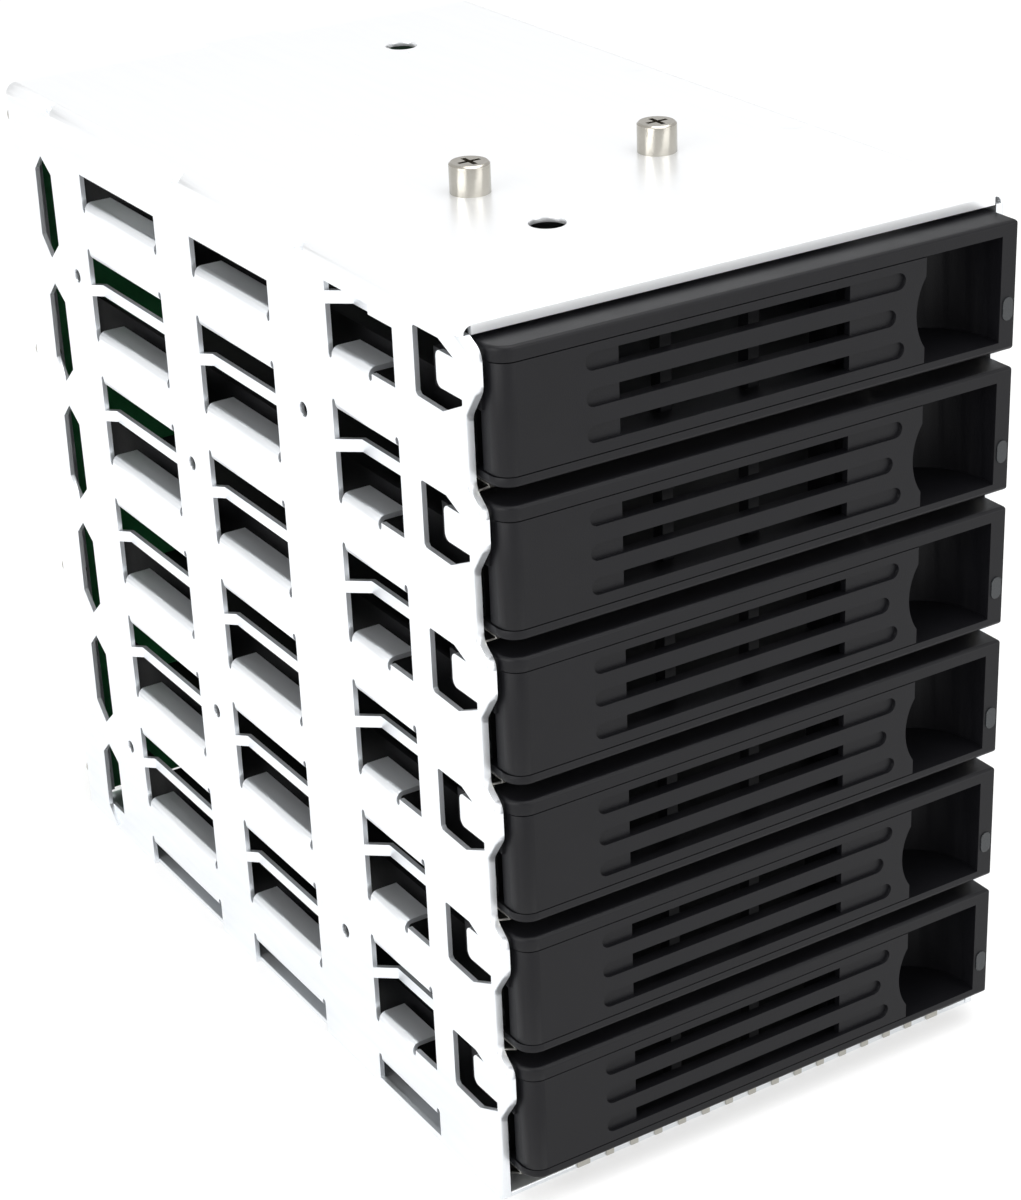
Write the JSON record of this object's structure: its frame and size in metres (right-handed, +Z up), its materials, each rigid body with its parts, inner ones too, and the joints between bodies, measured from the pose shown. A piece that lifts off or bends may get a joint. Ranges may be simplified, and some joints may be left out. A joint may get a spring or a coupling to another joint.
{
  "type": "hot swap drive cage",
  "caption": "Sheet steel hot swap drive cage: lanced side walls hold slide-in drive carriers, each with a vented black front and a hinged latch lever, in front of a rear backplane.",
  "frame": {"origin": "middle of the cage's flat underside", "axes": "+Z up, carriers pull out towards -Y, the backplane is at +Y, the levers hinge at -X"},
  "size_m": [0.1196, 0.2122, 0.187],
  "materials": {
    "zinc_sheet": "plain zinc-coated sheet, satin",
    "black_steel": "steel sheet with a matt black coat",
    "black_plastic": "fine-textured moulded plastic, satin",
    "nickel": "nickel-plated, smooth",
    "spring_steel": "thin bright spring sheet",
    "circuit_board": "green solder mask",
    "socket_plastic": "moulded socket plastic",
    "pale_plastic": "moulded socket plastic",
    "chip_plastic": "moulded packages",
    "clear_plastic": "clear moulded light guide",
    "led_lens": "small lamp packages"
  },
  "bodies": {
    "cage": {"left_wall": "zinc_sheet", "right_wall": "zinc_sheet", "top_plate": "zinc_sheet", "bottom_plate": "zinc_sheet", "bottom_finger_strip": "spring_steel", "shoulder_studs": "nickel", "backplane_board": "circuit_board", "board_screws": "nickel", "drive_sockets": "socket_plastic", "status_leds": "led_lens", "power_sockets": "pale_plastic", "data_sockets": "socket_plastic", "board_chips": "chip_plastic"},
    "carrier_1": {"bezel_1": "black_plastic", "lever_pin_1": "nickel", "tray_1": "black_steel", "tray_screws_1": "nickel", "light_pipe_1": "clear_plastic", "spring_clip_1": "spring_steel"},
    "lever_1_body": {"lever_1": "black_plastic"},
    "carrier_2": {"bezel_2": "black_plastic", "lever_pin_2": "nickel", "tray_2": "black_steel", "tray_screws_2": "nickel", "light_pipe_2": "clear_plastic", "spring_clip_2": "spring_steel"},
    "lever_2_body": {"lever_2": "black_plastic"},
    "carrier_3": {"bezel_3": "black_plastic", "lever_pin_3": "nickel", "tray_3": "black_steel", "tray_screws_3": "nickel", "light_pipe_3": "clear_plastic", "spring_clip_3": "spring_steel"},
    "lever_3_body": {"lever_3": "black_plastic"},
    "carrier_4": {"bezel_4": "black_plastic", "lever_pin_4": "nickel", "tray_4": "black_steel", "tray_screws_4": "nickel", "light_pipe_4": "clear_plastic", "spring_clip_4": "spring_steel"},
    "lever_4_body": {"lever_4": "black_plastic"},
    "carrier_5": {"bezel_5": "black_plastic", "lever_pin_5": "nickel", "tray_5": "black_steel", "tray_screws_5": "nickel", "light_pipe_5": "clear_plastic", "spring_clip_5": "spring_steel"},
    "lever_5_body": {"lever_5": "black_plastic"},
    "carrier_6": {"bezel_6": "black_plastic", "lever_pin_6": "nickel", "tray_6": "black_steel", "tray_screws_6": "nickel", "light_pipe_6": "clear_plastic", "spring_clip_6": "spring_steel"},
    "lever_6_body": {"lever_6": "black_plastic"}
  },
  "joints": [
    {"name": "carrier_slide_1", "type": "slide", "parent": "cage", "child": "carrier_1", "axis": [0, -1, 0], "range_m": [0, 0.17]},
    {"name": "lever_hinge_1", "type": "hinge", "parent": "carrier_1", "child": "lever_1_body", "pos_m": [-0.0518, -0.1003, 0.16465], "axis": [0, 0, -1], "range_deg": [0, 65]},
    {"name": "carrier_slide_2", "type": "slide", "parent": "cage", "child": "carrier_2", "axis": [0, -1, 0], "range_m": [0, 0.17]},
    {"name": "lever_hinge_2", "type": "hinge", "parent": "carrier_2", "child": "lever_2_body", "pos_m": [-0.0518, -0.1003, 0.13565], "axis": [0, 0, -1], "range_deg": [0, 65]},
    {"name": "carrier_slide_3", "type": "slide", "parent": "cage", "child": "carrier_3", "axis": [0, -1, 0], "range_m": [0, 0.17]},
    {"name": "lever_hinge_3", "type": "hinge", "parent": "carrier_3", "child": "lever_3_body", "pos_m": [-0.0518, -0.1003, 0.10665], "axis": [0, 0, -1], "range_deg": [0, 65]},
    {"name": "carrier_slide_4", "type": "slide", "parent": "cage", "child": "carrier_4", "axis": [0, -1, 0], "range_m": [0, 0.17]},
    {"name": "lever_hinge_4", "type": "hinge", "parent": "carrier_4", "child": "lever_4_body", "pos_m": [-0.0518, -0.1003, 0.07765], "axis": [0, 0, -1], "range_deg": [0, 65]},
    {"name": "carrier_slide_5", "type": "slide", "parent": "cage", "child": "carrier_5", "axis": [0, -1, 0], "range_m": [0, 0.17]},
    {"name": "lever_hinge_5", "type": "hinge", "parent": "carrier_5", "child": "lever_5_body", "pos_m": [-0.0518, -0.1003, 0.04865], "axis": [0, 0, -1], "range_deg": [0, 65]},
    {"name": "carrier_slide_6", "type": "slide", "parent": "cage", "child": "carrier_6", "axis": [0, -1, 0], "range_m": [0, 0.17]},
    {"name": "lever_hinge_6", "type": "hinge", "parent": "carrier_6", "child": "lever_6_body", "pos_m": [-0.0518, -0.1003, 0.01965], "axis": [0, 0, -1], "range_deg": [0, 65]}
  ]
}
